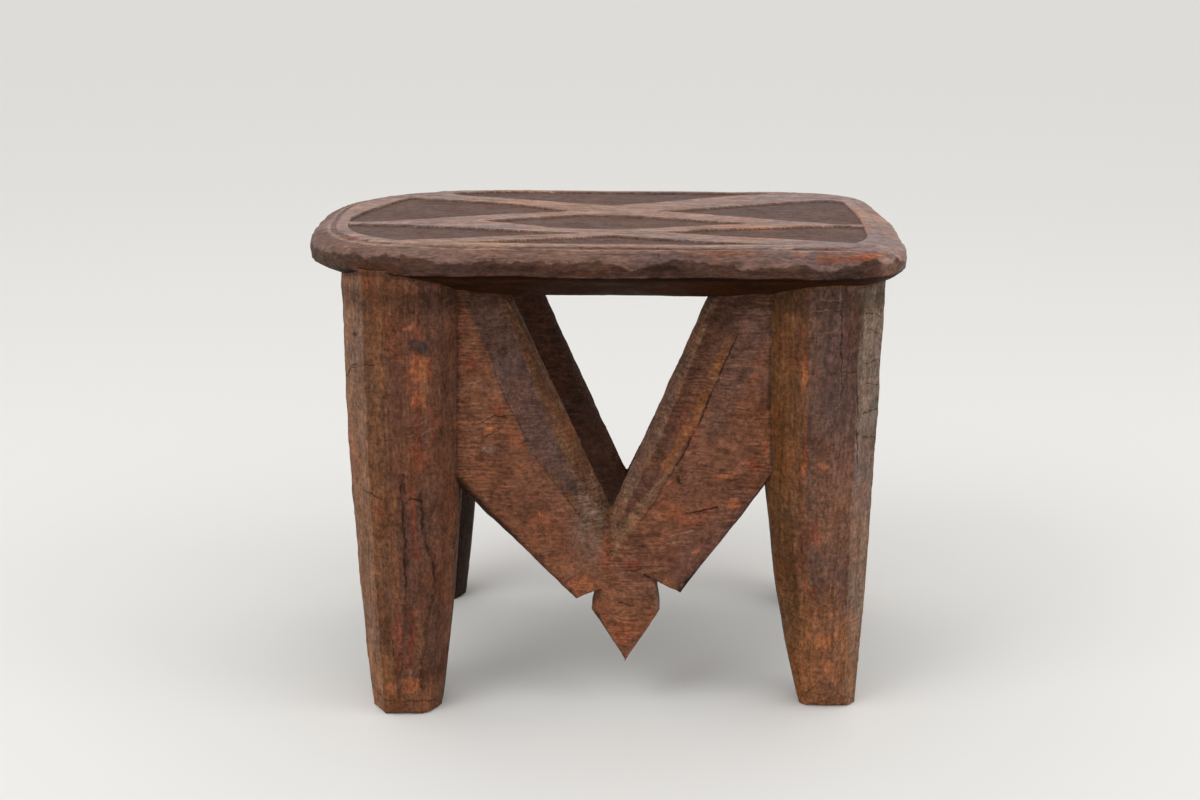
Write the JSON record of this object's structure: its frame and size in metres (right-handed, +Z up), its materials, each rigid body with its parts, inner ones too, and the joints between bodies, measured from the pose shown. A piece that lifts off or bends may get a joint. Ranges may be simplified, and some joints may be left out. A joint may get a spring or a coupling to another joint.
{
  "type": "carved wooden stool",
  "caption": "Low hand-carved wooden stool: rounded seat with a carved lattice top, faceted tapering legs, and V-shaped braces with hanging pendants at front and back.",
  "frame": {"origin": "on the floor, under the middle of the seat", "axes": "+X along the seat to the viewer's right, +Y from the front to the back, +Z up"},
  "size_m": [0.431, 0.296, 0.345],
  "materials": {
    "seat": "dark brown hardwood, hand-carved, dry and worn",
    "legs": "dark reddish brown hardwood with knife facets",
    "braces": "dark reddish brown hardwood with fine tool scratches"
  },
  "bodies": {
    "root": {"seat": "seat", "front_left_leg": "legs", "front_right_leg": "legs", "back_left_leg": "legs", "back_right_leg": "legs", "front_left_strut": "braces", "front_right_strut": "braces", "front_pendant": "braces", "back_left_strut": "braces", "back_right_strut": "braces", "back_pendant": "braces"}
  },
  "joints": []
}
